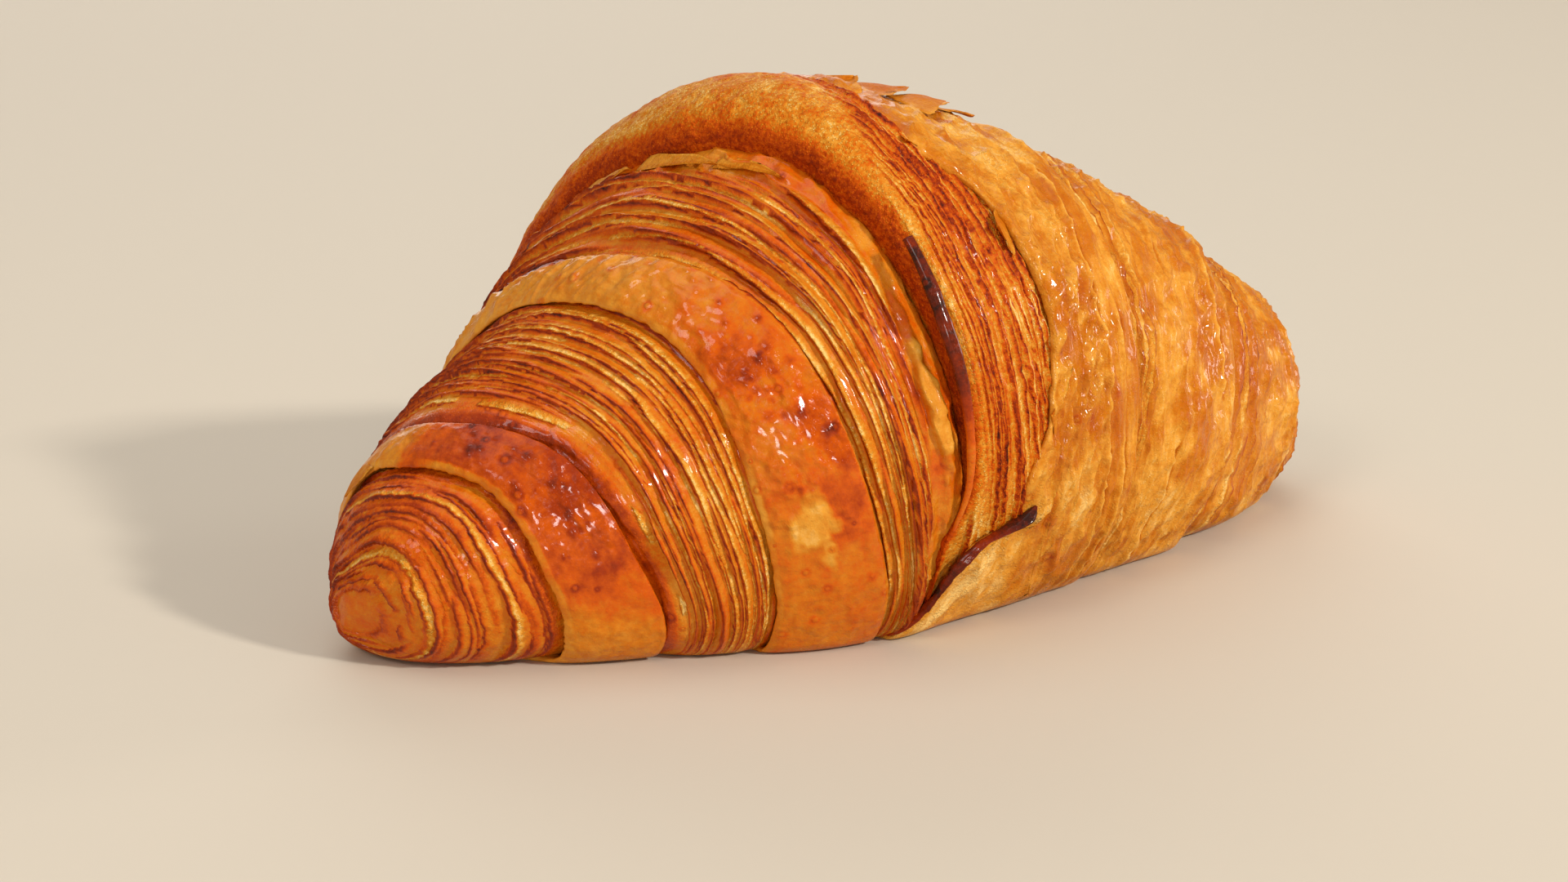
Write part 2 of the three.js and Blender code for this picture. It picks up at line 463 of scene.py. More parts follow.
def closed_shell(points, masks, around, along):
    """The arrays of a shell from a grid of points that is closed along its second axis. Each end
    is closed by a fan to the middle of its row. The UV map holds the distances both ways."""
    rows, columns = points.shape[:2]
    vertices = np.concatenate([points.reshape(-1, 3), [points[0].mean(0), points[-1].mean(0)]])
    row, column, quads = grid_squares(rows, columns)
    ring = np.arange(columns)
    turn = (ring + 1) % columns
    first = np.stack([np.full(columns, rows * columns), turn, ring], -1)
    last_row = (rows - 1) * columns
    last = np.stack([np.full(columns, rows * columns + 1), last_row + ring, last_row + turn], -1)
    width = np.append(around, 2 * around[-1] - around[-2])
    corners = ((0, 0), (0, 1), (1, 1), (1, 0))
    uv = np.stack([np.stack([along[row + i], width[column + j]], -1) for i, j in corners], 1)
    return {
        "vertices": vertices,
        "faces": (quads, np.concatenate([first, last])),
        "uv": np.concatenate([uv.reshape(-1, 2), np.zeros((6 * columns, 2))]),
        "masks": {key: np.concatenate([m.ravel(), m[0, :1], m[-1, :1]]) for key, m in masks.items()},
    }


def shell_mesh(name, shells):
    """A mesh from one or more closed shells, with its UV map and the masks."""
    faces = []
    start = 0
    for shell in shells:
        for corners in shell["faces"]:
            faces += (corners + start).tolist()
        start += len(shell["vertices"])
    mesh = smooth_mesh(name, np.concatenate([shell["vertices"] for shell in shells]) * MM, faces)
    layer = mesh.uv_layers.new(name="Surface")
    uv = np.concatenate([shell["uv"] for shell in shells])
    layer.data.foreach_set("uv", uv.astype(np.float32).ravel())
    for key in MASKS:
        set_attribute(mesh, key, np.concatenate([shell["masks"][key] for shell in shells]))
    return mesh


def even_masks(tone, gloss, grain, ripple):
    """The four masks of a grid, of which only the tone changes over it."""
    return {key: value + 0 * tone for key, value in zip(MASKS, (tone, gloss, grain, ripple))}


def dough_mesh(dough, name, keys, rows, columns, relief, seed, middle_angle=40.0, edge_line=None,
               swell=None, ragged=0.5):
    """A wrap of dough: its profile carried round the roll. The ragged edges wander along X and
    lift, the relief moves the surface along its normal, and both fade where it rests. edge_line
    holds a table, two places and a limit: the first place moves to the line of the table, and
    what lies behind it less and less, up to the second place. swell holds a table too, and
    what stands out of the roll is multiplied by its share."""
    profile, length = profile_rows(keys, rows, math.radians(middle_angle))
    ragged = ragged * dough.ragged
    v = angles(columns)[None, :]
    s, off, edge, shown = (profile[:, i, None] + 0 * v for i in range(4))
    if swell is not None:
        off = np.where(off > 0, off * round_roll(swell, v), off)
    frayed = 0.6 * ring_noise(v, 9, seed, 3) + 0.2 * ring_noise(v, 150, seed + 3, 2)
    s = s + ragged * edge * frayed
    if edge_line is not None:
        line, start, end, limit = edge_line
        weight = np.clip((end - profile[:, 0, None]) / (end - start), 0.0, limit)
        s = s + weight * (round_roll(line, v) - start)
    lumps = rough_noise(roll_point(s, v, 0 * s), dough.lump_size / MM, 5, 2) * dough.lump_height / MM
    off = off + lumps + ragged * 0.5 * edge * (0.4 + ring_noise(v, 10, seed + 11, 2))
    points = roll_point(s, v, off)
    crust = relief(points, s, v)
    crust.tone -= 0.08 * (1 - smoothstep(5.0, 30.0, points[..., 2]))
    crust.paint(smoothstep(0.93, 1.0, edge) * (0.4 + 0.4 * ring_noise(v, 40, seed + 17)), tone=0.22)
    rest = smoothstep(0.3, 4.0, points[..., 2])
    shown = np.clip(shown, 0, 1)
    moved = points + grid_normals(points) * (crust.height * dough.relief * rest * shown)[..., None]
    hidden = 1 - smoothstep(0.0, 0.6, shown)
    moved[..., 2] = np.maximum(moved[..., 2], HIDDEN_GAP * hidden)
    moved[..., 2] = np.maximum(moved[..., 2], base_gap(moved, v))
    masks = {key: getattr(crust, key) for key in MASKS}
    return shell_mesh(name, [closed_shell(moved, masks, v[0] * MAP_RADIUS, length)])


def base_gap(points, v):
    """How far the bottom arches off the base in places near its outline, by a broad noise."""
    rim = smoothstep(1.75, 2.1, np.abs(v)) * (1 - smoothstep(2.4, 2.7, np.abs(v)))
    flat = points * np.array([1.0, 1.0, 0.0])
    return BASE_GAP * rim * smoothstep(0.1, 0.6, rough_noise(flat, 13.0, 900, 2))


def finish_piece(name, mesh, material):
    """Puts a mesh into the scene as a piece that stands for the baked roll."""
    piece = bpy.data.objects.new(name, mesh)
    bpy.context.scene.collection.objects.link(piece)
    mesh.materials.append(material)
    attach(piece, BODY)
    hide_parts(NODE)


# ---------------------------------------------------------------- the wraps

def blunt_horn_relief(points, s, v):
    """Fine sheets in arcs round the low tip, placed by the distance from it, and a smooth tip."""
    crust = Crust(s.shape, 0.56, 0.9, 0.1)
    edges = sheet_edges(2.6, 25.0, 0.45, 41, 0.22, 0.85)
    away = tip_distance(s)
    window = smoothstep(2.0, 3.4, away)
    stack_sheets(crust, points, away, v, edges, -1, 0.65, 50, window, body=0.52, wander_share=0.3)
    crust.paint(bell(np.degrees(v) - 70.0, 35.0) * window, ripple=0.5)
    return crust


def first_wrap_relief(points, s, v):
    """A blistered skin up to its back edge, paler on the crest, partly its own tone and partly painted
    sheen, and paler near the base. Behind it a dark rounded lip and a stack of sheets."""
    skin = 1 - smoothstep(*FIRST_SKIN_BACK, s)
    crust = Crust(s.shape, 0.68, 1.0, 0.05)
    skin_relief(crust, points, 61, 0.4, 0.15)
    blisters(crust, points, 34, ((-80.0, 5.0), (-76.5, 95.0)), 0.5, 62)
    crust.paint(skin, ripple=0.45)
    crust.paint(spot(points, s, v, (-76.8, 62.0), (1.3, 22.0)), ripple=1.0)
    crust.height *= skin
    # partly painted sheen: the crest is painted paler, for its own tone and for the light that falls on
    # the top
    crust.paint(skin * smoothstep(0.35, -0.2, np.sin(v)), tone=0.34, gloss=0.7)
    crust.paint(skin * smoothstep(16.0, 4.0, points[..., 2]), tone=0.42, gloss=0.75)
    lip = [(-75.7, 0.8, 0.5, 0.1), (-74.9, 2.4, 1.2, 0.0), (-72.5, 1.2, 1.1, 1.0)]
    edges = lip + sheet_edges(-71.2, -55.0, 0.66, 63)
    stack_sheets(crust, points, s, v, edges, -1, 0.95, 70, 1 - skin, stretch=1.15)
    crust.paint(bell(s + 74.2, 1.0), tone=0.74, gloss=1.0)
    crust.paint(bell(s + 74.0, 1.8) * bell(np.degrees(v) - 52.0, 28.0), ripple=1.0)
    return crust


def second_wrap_relief(points, s, v):
    """A broad glossy skin up to its back edge, wrinkled and paler on the crest, where the paleness is
    partly its own tone and partly painted sheen, with a peeled and a rippled spot. Behind it deep
    sheets, and then the flaky skin that runs under the rim."""
    skin = 1 - smoothstep(*SECOND_SKIN_BACK, s)
    crust = Crust(s.shape, 0.55, 1.0, 0.05)
    skin_relief(crust, points, 81, 0.4, 0.22)
    blisters(crust, points, 40, ((-55.0, 25.0), (-51.5, 105.0)), 0.4, 82)
    crest_side = smoothstep(0.85, 0.3, np.sin(v))
    wrinkles(crust, s, v, crest_side, -35.0, 0.5, 86)
    crust.height *= skin
    crust.paint(skin, ripple=0.4)
    # partly painted sheen: the crest side is painted paler, for its own tone and for the light on the
    # top
    crust.paint(skin * crest_side, tone=0.30)
    crust.paint(skin * smoothstep(18.0, 4.0, points[..., 2]), tone=0.52, gloss=0.75)
    crust.paint(skin * spot(points, s, v, (-54.4, 98.0), (1.0, 9.0)), tone=0.2, gloss=0.8)
    crust.paint(spot(points, s, v, (-54.6, 74.0), (2.6, 22.0)), ripple=1.0)
    edges = sheet_edges(-51.0, -34.0, 0.72, 83)
    under_rim = smoothstep(-0.8, 0.6, s - round_roll(LAYERS_END, v))
    window = (1 - skin) * (1 - under_rim)
    stack_sheets(crust, points, s, v, edges, -1, 1.25, 90, window, stretch=1.1)
    flaky = Crust(s.shape, 0.42, 0.95, 0.1)
    skin_relief(flaky, points, 95, 0.3, 0.6, 0.2)
    puff = spot(points, s, v, (-34.6, 82.0), (1.4, 12.0))
    flaky.height += 1.1 * puff
    flaky.paint(puff, tone=0.24, gloss=0.7)
    crust.height += flaky.height * under_rim
    crust.paint(under_rim, tone=flaky.tone, gloss=flaky.gloss, grain=0.1, ripple=0.5)
    return crust


def rolled_rim_relief(points, s, v):
    """A dull crumbly rim with a brown underside. Fine sheets come in on its flank, nearer its
    front edge the further down the front, and it sinks where the outer skin lies on it."""
    crust = Crust(s.shape, 0.34, 0.1, 0.9)
    crust.height += 0.3 * rough_noise(points, 12.0, 101) + 0.18 * noise(points, 1.1, 102)
    crust.tone += 0.12 * rough_noise(points, 5.0, 104) - 0.09 * noise(points, 1.6, 105)
    behind_edge = s - round_roll(RIM_EDGE, v)
    crust.paint(smoothstep(2.0, -0.4, behind_edge), tone=0.72, grain=0.5)
    edges = sheet_edges(-32.0, -1.0, 0.8, 103, 0.7)
    front = smoothstep(math.radians(5.0), math.radians(48.0), v)
    flank = smoothstep(0.0, 2.5, behind_edge - 12.5 + 12.0 * front)
    flank = flank * smoothstep(-0.5, 0.3, np.sin(v))
    stack_sheets(crust, points, s, v, edges, -1, 0.9, 110, flank, body=0.35)
    crust.paint(flank, gloss=0.4)
    crust.grain += 0.5 * flank
    crust.height -= 1.6 * smoothstep(1.5, 4.5, s - round_roll(SKIN_EDGE, v))
    return crust


def loose_skin(points, s, v, tone, seed, folds):
    """The thin skin of the outer layer: bubbles, fine lines round the roll and loose folds."""
    crust = Crust(s.shape, tone, 0.55, 0.25)
    skin_relief(crust, points, seed, 0.8, 0.5)
    lines = hairlines(s, v, 1.2, seed + 3)
    bands = hairlines(s, v, 3.4, seed + 6)
    crust.height += 0.2 * lines + 0.3 * bands
    crust.tone += 0.05 * lines + 0.11 * bands
    wrinkles(crust, s, v, folds, 35.0, 1.2, seed + 4)
    crust.ripple += 0.25
    return crust


def crack(crust, s, v, place, seed):
    """A thin dark crack round the roll at the place s, which wanders and breaks off. The dark line in
    its groove is painted shade.
    """
    away = s - place - 0.9 * ring_noise(v, 9, seed, 4)
    opened = smoothstep(-0.15, 0.35, ring_noise(v, 10, seed + 1, 2))
    crust.height -= 0.7 * bell(away, 0.35) * opened
    crust.height += 0.5 * bell(away + 1.0, 0.7) * opened
    # painted shade: the groove of the crack is painted dark for the shade in it
    crust.paint(bell(away, 0.3) * opened, tone=0.85, gloss=0.3)
    crust.paint(bell(away + 0.9, 0.5) * opened, tone=0.2)


def outer_skin_relief(points, s, v):
    """Loose skin with folds near its ragged edge, pale crumbs on the crest whose paleness is partly
    painted sheen, a glossy front, two cracks with painted shade in them, and a pale raised strip behind
    the burnt seam."""
    folds = smoothstep(18.0, 8.0, s) * (0.4 + 0.6 * bell(np.degrees(v) - 72.0, 34.0))
    crust = loose_skin(points, s, v, 0.37, 121, folds)
    # partly painted sheen: pale crumbs on the crest, painted paler also for the highlights that the sky
    # makes there
    pale_crumb_and_sheen = smoothstep(-0.3, 0.5, noise(points, 2.5, 122)) * bell(s - 6.0, 10.0)
    crust.paint(0.8 * pale_crumb_and_sheen * bell(np.degrees(v) - 15.0, 35.0), tone=0.1, grain=0.7, gloss=0.3)
    crust.paint(bell(s - 1.0, 9.0) * bell(np.degrees(v) - 72.0, 38.0), gloss=1.0, ripple=0.5)
    crack(crust, s, v, 12.5, 125)
    crack(crust, s, v, 18.0, 127)
    seam = smoothstep(98.0, 108.0, np.degrees(v)) * smoothstep(150.0, 138.0, np.degrees(v))
    behind_edge = s - round_roll(SKIN_EDGE, v)
    crust.height += 0.4 * bell(behind_edge - 3.0, 4.0) * seam
    crust.paint(bell(behind_edge - 6.0, 4.0) * seam, tone=0.14, gloss=0.4, grain=0.6)
    return crust


def third_wrap_relief(points, s, v):
    """Loose skin with broad sheets behind the edge of the outer skin, and two cracks."""
    crust = loose_skin(points, s, v, 0.36, 141, 0.4)
    edges = sheet_edges(22.0, 36.0, 1.5, 143, 0.7)
    window = 0.8 * smoothstep(36.0, 27.0, s)
    stack_sheets(crust, points, s, v, edges, 1, 0.6, 150, window, body=0.40)
    crack(crust, s, v, 41.0, 145)
    crack(crust, s, v, 56.5, 147)
    return crust


def long_horn_relief(points, s, v):
    """Loose skin with broad sheets behind the edge of the third wrap, and fine sheets in arcs
    round the tip, placed by the distance from it."""
    crust = loose_skin(points, s, v, 0.34, 161, 0.3)
    edges = sheet_edges(61.0, 75.0, 1.3, 163, 0.7)
    window = 0.8 * smoothstep(74.0, 66.0, s)
    stack_sheets(crust, points, s, v, edges, 1, 0.6, 170, window, stretch=1.1, body=0.40)
    edges = sheet_edges(2.6, 19.0, 0.9, 173)
    window = smoothstep(81.6, 82.4, s)
    stack_sheets(crust, points, tip_distance(s), v, edges, -1, 0.6, 180, window, body=0.46)
    return crust


# The profiles of the wraps. Each row is a place s, how far the surface stands off the girth
# there, how much of the ragged edge it has and how much of the relief.
BLUNT_HORN = [
    (-89.0, 0.0, 0, 1), (-88.4, 0.0, 0, 1), (-84.0, -0.2, 0, 1), (-81.5, -0.9, 0, 1),
    (-79.5, -1.8, 0, 0.8), (-77.5, -4.0, 0, 0), (-76.5, -8.0, 0, 0),
]
FIRST_WRAP = [
    (-77.0, -6.0, 0, 0), (-78.2, -2.4, 0, 0), (-79.8, -1.0, 0.6, 0), (-81.0, -0.3, 1, 0.1),
    (-81.15, 0.15, 1, 0.3), (-80.8, 0.6, 1, 0.6), (-79.9, 1.0, 0.6, 1), (-78.0, 1.1, 0, 1),
    (-76.4, 0.8, 0.2, 1), (-75.6, 0.5, 0.6, 0.5), (-75.35, 0.1, 0.6, 0.2), (-75.7, -0.4, 0.5, 0),
    (-76.5, -1.1, 0.2, 0), (-75.4, -1.4, 0, 0.6), (-73.4, -0.4, 0, 1), (-68.0, 0.6, 0, 1),
    (-62.0, 0.2, 0, 1), (-57.5, -0.7, 0, 1), (-55.0, -1.9, 0, 0.6), (-53.0, -4.0, 0, 0),
    (-52.0, -9.0, 0, 0),
]
SECOND_WRAP = [
    (-52.0, -8.0, 0, 0), (-53.6, -2.6, 0, 0), (-55.2, -1.1, 0.6, 0), (-56.6, -0.35, 1, 0.1),
    (-56.8, 0.1, 1, 0.3), (-56.4, 0.6, 1, 0.6), (-55.5, 1.0, 0.6, 1), (-53.6, 1.3, 0, 1),
    (-52.0, 0.9, 0.2, 1), (-51.2, 0.6, 0.7, 0.5), (-50.95, 0.2, 0.7, 0.2), (-51.3, -0.4, 0.6, 0),
    (-52.2, -1.1, 0.2, 0), (-51.0, -1.4, 0, 0.6), (-48.6, -0.3, 0, 1), (-43.0, 0.3, 0, 1),
    (-39.0, -0.4, 0, 1), (-36.4, -0.9, 0, 1), (-33.6, -0.8, 0, 1), (-31.2, -1.8, 0, 0.8),
    (-29.6, -4.5, 0, 0), (-28.0, -12.0, 0, 0),
]
ROLLED_RIM = [
    (-30.0, -14.0, 0, 0), (-31.5, -7.0, 0, 0), (-33.6, -4.0, 0, 0.2), (-35.0, -2.0, 0.2, 0.6),
    (-35.7, 0.0, 0.4, 1), (-35.7, 1.6, 0.4, 1), (-34.8, 3.0, 0.3, 1), (-33.0, 3.9, 0.1, 1),
    (-30.0, 4.2, 0, 1), (-25.0, 3.4, 0, 1), (-18.0, 1.4, 0, 1), (-14.0, 0.4, 0, 1),
    (-8.0, 0.0, 0, 1), (0.0, -0.3, 0, 1), (3.0, -1.6, 0, 0.3), (6.0, -5.0, 0, 0),
    (7.0, -12.0, 0, 0),
]
OUTER_SKIN = [
    (-8.0, -12.0, 0, 0), (-10.0, -3.4, 0, 0), (-12.6, -0.4, 0.6, 0), (-13.9, 0.3, 1, 0.1),
    (-14.2, 0.7, 1, 0.3), (-13.8, 1.1, 1, 0.6), (-12.6, 1.2, 0.6, 1), (-8.0, 0.8, 0, 1),
    (0.0, 0.5, 0, 1), (12.0, 0.5, 0, 1), (20.0, 0.8, 0.4, 1), (21.6, 0.6, 1, 0.6),
    (22.0, 0.1, 1, 0.2), (21.5, -0.5, 1, 0), (20.0, -1.6, 0.4, 0), (18.0, -5.0, 0, 0),
    (17.0, -12.0, 0, 0),
]
THIRD_WRAP = [
    (16.0, -12.0, 0, 0), (17.0, -5.0, 0, 0), (19.0, -2.4, 0, 0.2), (22.0, -1.4, 0, 1),
    (27.0, -0.4, 0, 1), (33.0, 0.3, 0, 1), (45.0, 0.6, 0, 1), (58.8, 1.0, 0.4, 1),
    (60.5, 0.7, 1, 0.6), (60.9, 0.2, 1, 0.2), (60.4, -0.4, 1, 0), (59.0, -1.6, 0.4, 0),
    (57.0, -4.5, 0, 0), (56.0, -10.0, 0, 0),
]
LONG_HORN = [
    (55.0, -10.0, 0, 0), (56.0, -5.0, 0, 0), (58.5, -2.6, 0, 0.2), (61.0, -1.7, 0, 1),
    (67.0, -0.3, 0, 1), (72.0, 0.3, 0, 1), (78.0, 0.6, 0, 1), (80.6, 0.8, 0.5, 1),
    (81.6, 0.5, 1, 0.6), (81.8, 0.1, 1, 0.2), (81.5, -0.5, 1, 0), (80.9, -1.2, 0.3, 0),
    (81.8, -1.4, 0, 0.6), (85.5, -0.4, 0, 1), (88.2, 0.0, 0, 1), (89.0, 0.0, 0, 1),
]


# ---------------------------------------------------------------- flakes and burnt edges

# Flakes of the crust: the place of the root (s, v in degrees), the way to the tip in degrees
# (0 towards the long horn, 90 down the front), length, width, how far root and tip stand off.
FLAKES = (
    (-18.0, 8.0, -12.0, 10.0, 9.0, 0.9, 2.3),
    (-10.0, 6.0, -6.0, 13.0, 9.0, 0.8, 2.0),
    (-3.0, 12.0, -14.0, 12.0, 7.0, 0.7, 1.9),
    (6.0, 4.0, 4.0, 10.0, 8.0, 0.6, 1.6),
    (-12.0, -30.0, 10.0, 11.0, 9.0, 0.7, 1.8),
    (-37.6, -28.0, 98.0, 13.0, 2.4, -0.6, 0.9),
    (-36.8, -8.0, 94.0, 14.0, 2.6, -0.5, 1.1),
    (-35.8, 12.0, 90.0, 10.0, 2.2, -0.5, 0.9),
    (-79.8, -30.0, 200.0, 4.0, 6.0, 0.6, 1.6),
    (-14.5, 30.0, 160.0, 4.0, 5.0, 0.9, 2.0),
    (-8.0, 52.0, 190.0, 4.0, 6.0, 0.9, 1.8),
    (-9.0, 88.0, 200.0, 4.5, 5.0, 0.9, 1.6),
    (60.0, -60.0, 0.0, 6.0, 8.0, 0.6, 1.6),
    (-10.0, -80.0, 30.0, 9.0, 8.0, 0.6, 1.8),
    (30.0, -110.0, 10.0, 8.0, 7.0, 0.5, 1.6),
)


def flake_shell(place, half_thickness, seed):
    """A thin flake: a flat tube whose section is an ellipse. Its half width narrows from the
    root to the tip as a power of the rest, and it rises off the roll as it goes."""
    s, v, way, length, width, root, tip = place
    a = np.linspace(0.0, 1.0, 22)[:, None]
    turn = np.linspace(0, 2 * np.pi, 40, endpoint=False)[None, :]
    across = np.cos(turn) + 0 * a
    edge = 1 + 0.35 * ring_noise(turn + 3 * a, 9, seed, 3)
    half = 0.5 * width * np.clip(1.02 - a**1.6, 0, 1) ** 0.75 * edge
    forward = length * a * (1 + 0.12 * ring_noise(turn, 7, seed + 1))
    sideways = across * half
    angle = math.radians(way)
    ds = forward * math.cos(angle) - sideways * math.sin(angle)
    dv = forward * math.sin(angle) + sideways * math.cos(angle)
    curl = 0.2 * tip * across**2 * a + 0.4 * noise(np.stack([ds, dv, 0 * ds], -1), 3.0, seed + 2) * a
    off = root + (tip - root) * a**1.4 + curl + half_thickness * np.sin(turn)
    points = roll_point(s + ds, math.radians(v) + dv / girth_at(s), off)
    points[..., 2] = np.maximum(points[..., 2], 0.0)
    tone = 0.36 + 0.12 * a + 0.12 * ring_noise(turn, 6, seed + 4) - 0.15 * np.abs(across) ** 6
    masks = even_masks(tone, 0.2, 0.2, 0.3)
    return closed_shell(points, masks, turn[0] * half.mean(), forward.mean(1))


# Burnt strips: along each, v in degrees, s, how far it stands off, its width and thickness, and
# its tone.
BURNT_CURL = np.array([
    (52.0, -31.6, 3.9, 1.4, 1.1, 0.88), (60.0, -32.3, 4.2, 1.7, 1.5, 0.92),
    (68.0, -32.6, 4.1, 1.9, 1.6, 0.92), (75.0, -32.2, 3.7, 1.7, 1.5, 0.88),
    (82.0, -31.9, 3.0, 1.4, 1.3, 0.70), (90.0, -31.8, 2.2, 1.2, 1.1, 0.50),
    (98.0, -32.4, 1.4, 1.0, 0.8, 0.46), (106.0, -34.6, 0.6, 0.6, 0.5, 0.50),
])
BURNT_SEAM = np.array([
    (103.0, -18.6, 1.9, 0.5, 0.5, 0.95), (105.0, -20.4, 2.0, 1.7, 1.3, 0.97),
    (106.8, -24.0, 1.8, 1.2, 1.1, 0.92), (109.0, -29.2, 1.6, 1.1, 1.0, 0.88),
    (115.0, -34.2, 1.4, 1.3, 1.0, 0.90), (122.0, -38.2, 1.2, 0.9, 0.9, 0.84),
    (128.0, -42.8, 1.0, 0.8, 0.7, 0.78), (132.0, -47.0, 0.6, 0.4, 0.4, 0.74),
])


def strip_shell(path, seed, rough):
    """A burnt strip: an ellipse of the width and thickness of the path, carried along it over
    the roll's surface, with a rough skin."""
    at = np.linspace(path[0, 0], path[-1, 0], 150)
    s, off, width, thick, tone = (smooth_curve(path, at)[:, i, None] for i in range(5))
    angle = np.radians(at)[:, None]
    turn = np.linspace(0, 2 * np.pi, 28, endpoint=False)[None, :]
    swell = 1 + rough * (ring_noise(turn, 6, seed) + ring_noise(angle, 120, seed + 2, 3))
    ds = 0.5 * width * np.cos(turn) * swell
    points = roll_point(s + ds, angle + 0 * turn, off + 0.5 * thick * np.sin(turn) * swell)
    points[..., 2] = np.maximum(points[..., 2], 0.0)
    masks = even_masks(tone + 0.06 * ring_noise(angle, 160, seed + 5, 2) + 0 * ds, 0.85, 0.1, 0.2)
    return closed_shell(points, masks, turn[0], path_length(points.mean(1)))


# ---------------------------------------------------------------- materials

class Nodes:
    """Makes nodes in a tree and joins them by name."""

    def __init__(self, tree):
        self.tree = tree

    def add(self, kind, inputs=None, **settings):
        node = self.tree.nodes.new(kind)
        for key, value in settings.items():
            setattr(node, key, value)
        self.feed(node, inputs or {})
        return node

    def feed(self, node, inputs):
        """Links a node's input to each socket that is given, and sets it to each plain value."""
        for key, value in inputs.items():
            if isinstance(value, bpy.types.NodeSocket):
                self.tree.links.new(value, node.inputs[key])
            else:
                node.inputs[key].default_value = value

    def math(self, operation, a, b=0.0, c=0.0, clamp=False):
        inputs = {0: a, 1: b, 2: c}
        return self.add("ShaderNodeMath", inputs, operation=operation, use_clamp=clamp).outputs[0]

    def times(self, a, b, clamp=False):
        return self.math("MULTIPLY", a, b, clamp=clamp)

    def plus(self, a, b, clamp=False):
        return self.math("ADD", a, b, clamp=clamp)

    def minus(self, a, b, clamp=False):
        return self.math("SUBTRACT", a, b, clamp=clamp)

    def group(self, tree, **values):
        return self.add("ShaderNodeGroup", values, node_tree=tree)

    def mask(self, name):
        return self.add("ShaderNodeAttribute", attribute_name=name).outputs["Fac"]

    def object_place(self):
        return self.add("ShaderNodeTexCoord").outputs["Object"]


def group_tree(name, inputs, outputs):
    """An empty node group with number sockets; gives it with its nodes and its two ends."""
    tree = bpy.data.node_groups.new(name, "ShaderNodeTree")
    for socket, value in inputs.items():
        made = tree.interface.new_socket(socket, in_out="INPUT", socket_type="NodeSocketFloat")
        made.default_value = value
    for socket in outputs:
        tree.interface.new_socket(socket, in_out="OUTPUT", socket_type="NodeSocketFloat")
    nodes = Nodes(tree)
    return tree, nodes, nodes.add("NodeGroupInput"), nodes.add("NodeGroupOutput")


def crumb_group():
    """Fine crumb: a noise over the object's own coordinates, and small round grains from the
    distance to the middle of random cells."""
    tree, nodes, start, end = group_tree("Crumb", {"Scale": 900.0}, ("Speck", "Grains", "Height"))
    place = nodes.object_place()
    scale = start.outputs["Scale"]
    fine = nodes.add("ShaderNodeTexNoise", {"Vector": place, "Scale": scale, "Detail": 4.0})
    closer = nodes.times(scale, 1.5)
    cells = nodes.add("ShaderNodeTexVoronoi", {"Vector": place, "Scale": closer})
    inside = nodes.minus(0.42, cells.outputs["Distance"])
    grains = nodes.times(inside, 4.0, clamp=True)
    height = nodes.math("MULTIPLY_ADD", grains, 0.6, fine.outputs["Fac"])
    nodes.feed(end, {"Speck": fine.outputs["Fac"], "Grains": grains, "Height": height})
    return tree


def streak_group():
    """Streaks along the layers: a noise over the surface's own map, squeezed across them."""
    tree, nodes, start, end = group_tree("Layer streaks", {"Across": 2.4, "Along": 0.12}, ("Streak",))
    place = nodes.add("ShaderNodeUVMap", uv_map="Surface").outputs["UV"]
    split = nodes.add("ShaderNodeSeparateXYZ", {0: place})
    across = nodes.times(split.outputs["X"], start.outputs["Across"])
    along = nodes.times(split.outputs["Y"], start.outputs["Along"])
    joined = nodes.add("ShaderNodeCombineXYZ", {"X": across, "Y": along})
    streak = nodes.add("ShaderNodeTexNoise", {"Vector": joined.outputs[0], "Scale": 1.0, "Detail": 3.0})
    nodes.feed(end, {"Streak": streak.outputs["Fac"]})
    return tree


def mottle_group():
    """Uneven baking: a noise over the object's own coordinates."""
    tree, nodes, start, end = group_tree("Uneven bake", {"Scale": 90.0, "Detail": 5.0}, ("Mottle",))
    place = nodes.object_place()
    scale, detail = start.outputs["Scale"], start.outputs["Detail"]
    inputs = {"Vector": place, "Scale": scale, "Detail": detail, "Roughness": 0.6}
    broad = nodes.add("ShaderNodeTexNoise", inputs)
    nodes.feed(end, {"Mottle": broad.outputs["Fac"]})
    return tree


def blister_group():
    """Small blisters: in some random cells a dome around the cell's middle, and the ring round
    it, where the egg wash gathers."""
    tree, nodes, start, end = group_tree("Blisters", {"Scale": 300.0, "Size": 0.22}, ("Dome", "Ring"))
    place = nodes.object_place()
    cells = nodes.add("ShaderNodeTexVoronoi", {"Vector": place, "Scale": start.outputs["Scale"]})
    chance = nodes.add("ShaderNodeSeparateColor", {0: cells.outputs["Color"]}).outputs[0]
    size = nodes.times(nodes.minus(chance, 0.3), start.outputs["Size"])
    share = nodes.math("DIVIDE", cells.outputs["Distance"], nodes.math("MAXIMUM", size, 0.001))
    dome = nodes.minus(1.0, nodes.times(share, share), clamp=True)
    wide = nodes.minus(1.0, nodes.times(share, 0.5), clamp=True)
    ring = nodes.minus(wide, dome, clamp=True)
    nodes.feed(end, {"Dome": dome, "Ring": ring})
    return tree


